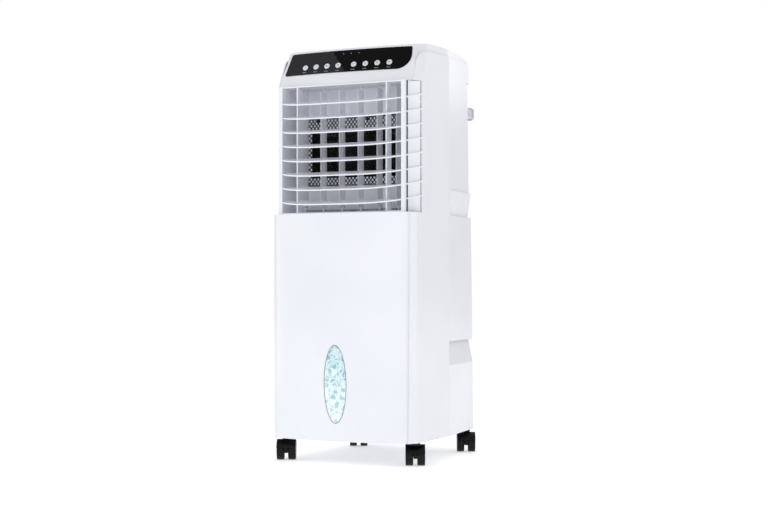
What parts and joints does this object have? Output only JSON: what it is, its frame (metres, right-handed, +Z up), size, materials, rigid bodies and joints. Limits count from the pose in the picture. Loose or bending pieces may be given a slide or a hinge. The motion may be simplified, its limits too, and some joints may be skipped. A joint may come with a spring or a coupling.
{
  "type": "evaporative cooler",
  "caption": "Tower evaporative air cooler on casters: louvred outlet with swing vanes, sloping push-button panel, blower, wet pad, filter frame and drawer water tank.",
  "frame": {"origin": "on the floor, below the middle of the whole object", "axes": "+Z up, front faces -Y, +X to the right seen from the front"},
  "size_m": [0.3264, 0.3964, 0.8242],
  "materials": {
    "white_abs": "glossy moulded ABS",
    "gloss_black": "polished black acrylic",
    "button_white": "moulded cap",
    "window_clear": "clear tinted window",
    "black_enamel": "satin black enamel",
    "plated_steel": "bright plating",
    "zinc_steel": "zinc plated",
    "circuit_board": "solder mask",
    "grey_plastic": "moulded polypropylene",
    "light_grey_plastic": "moulded ABS",
    "pad_paper": "resin treated honeycomb paper",
    "filter_mesh": "nylon net in a moulded frame",
    "black_rubber": "matte",
    "black_nylon": "satin moulded nylon",
    "hose_clear": "translucent hose"
  },
  "bodies": {
    "casing": {"base_pan": "grey_plastic", "blower_housing": "grey_plastic", "caster_stems": "plated_steel", "control_board": "circuit_board", "control_fascia": "gloss_black", "cord_gland": "black_rubber", "fan_motor": "zinc_steel", "front_panel": "white_abs", "guard_screws": "plated_steel", "indicator_lenses": "window_clear", "louvre_grille": "white_abs", "mesh_guard": "black_enamel", "motor_bracket": "zinc_steel", "outlet_duct": "white_abs", "power_board": "circuit_board", "rear_cover": "white_abs", "riser_tube": "hose_clear", "side_panel_left": "white_abs", "side_panel_right": "white_abs", "swing_motor": "grey_plastic", "top_cover": "white_abs", "water_trough": "grey_plastic", "water_window": "window_clear"},
    "button_power": {"button_power": "button_white"},
    "button_speed": {"button_speed": "button_white"},
    "button_mode": {"button_mode": "button_white"},
    "button_timer": {"button_timer": "button_white"},
    "button_swing": {"button_swing": "button_white"},
    "button_cool": {"button_cool": "button_white"},
    "button_pump": {"button_pump": "button_white"},
    "button_light": {"button_light": "button_white"},
    "vane_1": {"swing_vane_1": "white_abs"},
    "vane_2": {"swing_vane_2": "white_abs"},
    "vane_3": {"swing_vane_3": "white_abs"},
    "vane_4": {"swing_vane_4": "white_abs"},
    "vane_5": {"swing_vane_5": "white_abs"},
    "vane_6": {"swing_vane_6": "white_abs"},
    "link": {"vane_link_bar": "white_abs"},
    "crank": {"swing_crank": "grey_plastic"},
    "blower": {"blower_wheel": "grey_plastic", "motor_shaft": "plated_steel"},
    "tank": {"water_tank": "white_abs", "water_pump": "grey_plastic"},
    "filter": {"filter_frame": "white_abs", "cooling_pad": "pad_paper", "dust_filter": "filter_mesh", "cord_hooks": "light_grey_plastic"},
    "caster_front_left": {"caster_hood_front_left": "black_nylon"},
    "wheels_front_left": {"caster_wheels_front_left": "black_nylon", "caster_axle_front_left": "plated_steel"},
    "caster_front_right": {"caster_hood_front_right": "black_nylon"},
    "wheels_front_right": {"caster_wheels_front_right": "black_nylon", "caster_axle_front_right": "plated_steel"},
    "caster_rear_left": {"caster_hood_rear_left": "black_nylon"},
    "wheels_rear_left": {"caster_wheels_rear_left": "black_nylon", "caster_axle_rear_left": "plated_steel"},
    "caster_rear_right": {"caster_hood_rear_right": "black_nylon"},
    "wheels_rear_right": {"caster_wheels_rear_right": "black_nylon", "caster_axle_rear_right": "plated_steel"}
  },
  "joints": [
    {"name": "power_press", "type": "slide", "parent": "casing", "child": "button_power", "axis": [0, 0.8944, -0.4472], "range_m": [0, 0.001], "stiffness_N_per_m": 400},
    {"name": "speed_press", "type": "slide", "parent": "casing", "child": "button_speed", "axis": [0, 0.8944, -0.4472], "range_m": [0, 0.001], "stiffness_N_per_m": 400},
    {"name": "mode_press", "type": "slide", "parent": "casing", "child": "button_mode", "axis": [0, 0.8944, -0.4472], "range_m": [0, 0.001], "stiffness_N_per_m": 400},
    {"name": "timer_press", "type": "slide", "parent": "casing", "child": "button_timer", "axis": [0, 0.8944, -0.4472], "range_m": [0, 0.001], "stiffness_N_per_m": 400},
    {"name": "swing_press", "type": "slide", "parent": "casing", "child": "button_swing", "axis": [0, 0.8944, -0.4472], "range_m": [0, 0.001], "stiffness_N_per_m": 400},
    {"name": "cool_press", "type": "slide", "parent": "casing", "child": "button_cool", "axis": [0, 0.8944, -0.4472], "range_m": [0, 0.001], "stiffness_N_per_m": 400},
    {"name": "pump_press", "type": "slide", "parent": "casing", "child": "button_pump", "axis": [0, 0.8944, -0.4472], "range_m": [0, 0.001], "stiffness_N_per_m": 400},
    {"name": "light_press", "type": "slide", "parent": "casing", "child": "button_light", "axis": [0, 0.8944, -0.4472], "range_m": [0, 0.001], "stiffness_N_per_m": 400},
    {"name": "vane_1_swing", "type": "hinge", "parent": "casing", "child": "vane_1", "pos_m": [-0.10375, -0.1225, 0.5035], "axis": [0, 0, 1], "range_deg": [-32, 32]},
    {"name": "vane_2_swing", "type": "hinge", "parent": "casing", "child": "vane_2", "pos_m": [-0.06225, -0.1225, 0.5035], "axis": [0, 0, 1], "range_deg": [-32, 32]},
    {"name": "vane_3_swing", "type": "hinge", "parent": "casing", "child": "vane_3", "pos_m": [-0.02075, -0.1225, 0.5035], "axis": [0, 0, 1], "range_deg": [-32, 32]},
    {"name": "vane_4_swing", "type": "hinge", "parent": "casing", "child": "vane_4", "pos_m": [0.02075, -0.1225, 0.5035], "axis": [0, 0, 1], "range_deg": [-32, 32]},
    {"name": "vane_5_swing", "type": "hinge", "parent": "casing", "child": "vane_5", "pos_m": [0.06225, -0.1225, 0.5035], "axis": [0, 0, 1], "range_deg": [-32, 32]},
    {"name": "vane_6_swing", "type": "hinge", "parent": "casing", "child": "vane_6", "pos_m": [0.10375, -0.1225, 0.5035], "axis": [0, 0, 1], "range_deg": [-32, 32]},
    {"name": "link_pivot", "type": "hinge", "parent": "vane_1", "child": "link", "pos_m": [-0.10375, -0.1125, 0.4975], "axis": [0, 0, 1], "range_deg": [-32, 32]},
    {"name": "crank_turn", "type": "hinge", "parent": "casing", "child": "crank", "pos_m": [0, -0.1225, 0.4975], "axis": [0, 0, 1], "range_deg": [-32, 32]},
    {"name": "blower_spin", "type": "hinge", "parent": "casing", "child": "blower", "pos_m": [0, -0.005, 0.66], "axis": [1, 0, 0], "continuous": true},
    {"name": "tank_slide", "type": "slide", "parent": "casing", "child": "tank", "axis": [0, 1, 0], "range_m": [0, 0.2]},
    {"name": "filter_slide", "type": "slide", "parent": "casing", "child": "filter", "axis": [0, 1, 0], "range_m": [0, 0.06]},
    {"name": "front_left_swivel", "type": "hinge", "parent": "casing", "child": "caster_front_left", "pos_m": [-0.142, -0.129, 0.044], "axis": [0, 0, 1], "continuous": true},
    {"name": "front_left_roll", "type": "hinge", "parent": "caster_front_left", "child": "wheels_front_left", "pos_m": [-0.13683, -0.13983, 0.019], "axis": [0.9026, 0.4305, 0], "continuous": true},
    {"name": "front_right_swivel", "type": "hinge", "parent": "casing", "child": "caster_front_right", "pos_m": [0.142, -0.129, 0.044], "axis": [0, 0, 1], "continuous": true},
    {"name": "front_right_roll", "type": "hinge", "parent": "caster_front_right", "child": "wheels_front_right", "pos_m": [0.13683, -0.11817, 0.019], "axis": [-0.9026, -0.4305, 0], "continuous": true},
    {"name": "rear_left_swivel", "type": "hinge", "parent": "casing", "child": "caster_rear_left", "pos_m": [-0.126, 0.161, 0.044], "axis": [0, 0, 1], "continuous": true},
    {"name": "rear_left_roll", "type": "hinge", "parent": "caster_rear_left", "child": "wheels_rear_left", "pos_m": [-0.12083, 0.15017, 0.019], "axis": [0.9026, 0.4305, 0], "continuous": true},
    {"name": "rear_right_swivel", "type": "hinge", "parent": "casing", "child": "caster_rear_right", "pos_m": [0.126, 0.161, 0.044], "axis": [0, 0, 1], "continuous": true},
    {"name": "rear_right_roll", "type": "hinge", "parent": "caster_rear_right", "child": "wheels_rear_right", "pos_m": [0.13117, 0.15017, 0.019], "axis": [0.9026, 0.4305, 0], "continuous": true}
  ],
  "couplings": [
    {"joint": "vane_2_swing", "follows": "vane_1_swing", "ratio": 1},
    {"joint": "vane_3_swing", "follows": "vane_1_swing", "ratio": 1},
    {"joint": "vane_4_swing", "follows": "vane_1_swing", "ratio": 1},
    {"joint": "vane_5_swing", "follows": "vane_1_swing", "ratio": 1},
    {"joint": "vane_6_swing", "follows": "vane_1_swing", "ratio": 1},
    {"joint": "link_pivot", "follows": "vane_1_swing", "ratio": -1},
    {"joint": "crank_turn", "follows": "vane_1_swing", "ratio": 1}
  ]
}
